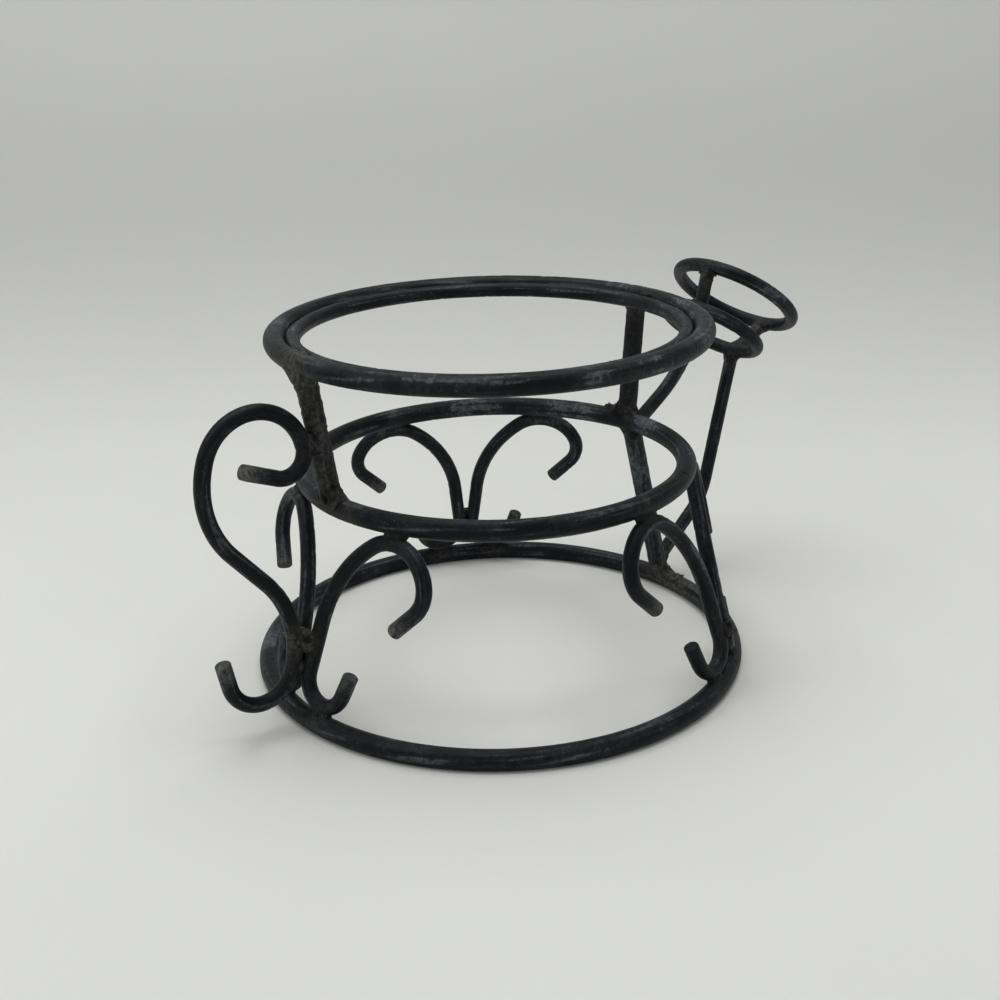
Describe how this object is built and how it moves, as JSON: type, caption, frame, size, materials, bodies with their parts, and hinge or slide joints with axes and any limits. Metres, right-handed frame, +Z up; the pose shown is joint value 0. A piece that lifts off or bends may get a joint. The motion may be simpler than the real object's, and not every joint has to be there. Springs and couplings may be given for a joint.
{
  "type": "plant stand",
  "caption": "Small welded rod plant stand shaped like a watering can: rings and leg scrolls hold a pot, with a scroll handle and a spout with rose rings.",
  "frame": {"origin": "centre of the base ring, on the surface that the stand rests on", "axes": "+X towards the spout, +Z up, +Y to the left of the spout seen from the handle"},
  "size_m": [0.2379, 0.1584, 0.1157],
  "materials": {
    "rod": "satin black paint over steel rod, dusty grey-blue bloom on the upper sides",
    "worn_rod": "black paint worn thin, gritty brown-grey pits and pale tips",
    "weld": "rough painted weld metal with a little rust"
  },
  "bodies": {
    "root": {"base_ring": "rod", "mid_ring": "rod", "rim_ring_outer": "rod", "rim_ring_inner": "rod", "upright_handle_side": "worn_rod", "upright_spout_side": "rod", "leg_upright_spout_side": "rod", "leg_scroll_handle_left": "worn_rod", "leg_scroll_handle_right": "worn_rod", "leg_scroll_front_left": "rod", "leg_scroll_front_right": "rod", "leg_scroll_back_left": "rod", "leg_scroll_back_right": "rod", "handle_scroll": "worn_rod", "spout_rod_upper": "rod", "spout_rod_lower": "rod", "spout_ring_large": "rod", "spout_ring_small": "rod", "spout_ring_strut": "rod", "welds_rim_rings": "weld", "welds_upright_ends": "weld", "welds_leg_arches": "weld", "welds_leg_feet": "weld", "welds_leg_pairs": "weld", "welds_handle": "weld", "welds_spout_feet": "weld", "welds_spout_rings": "weld"}
  },
  "joints": []
}
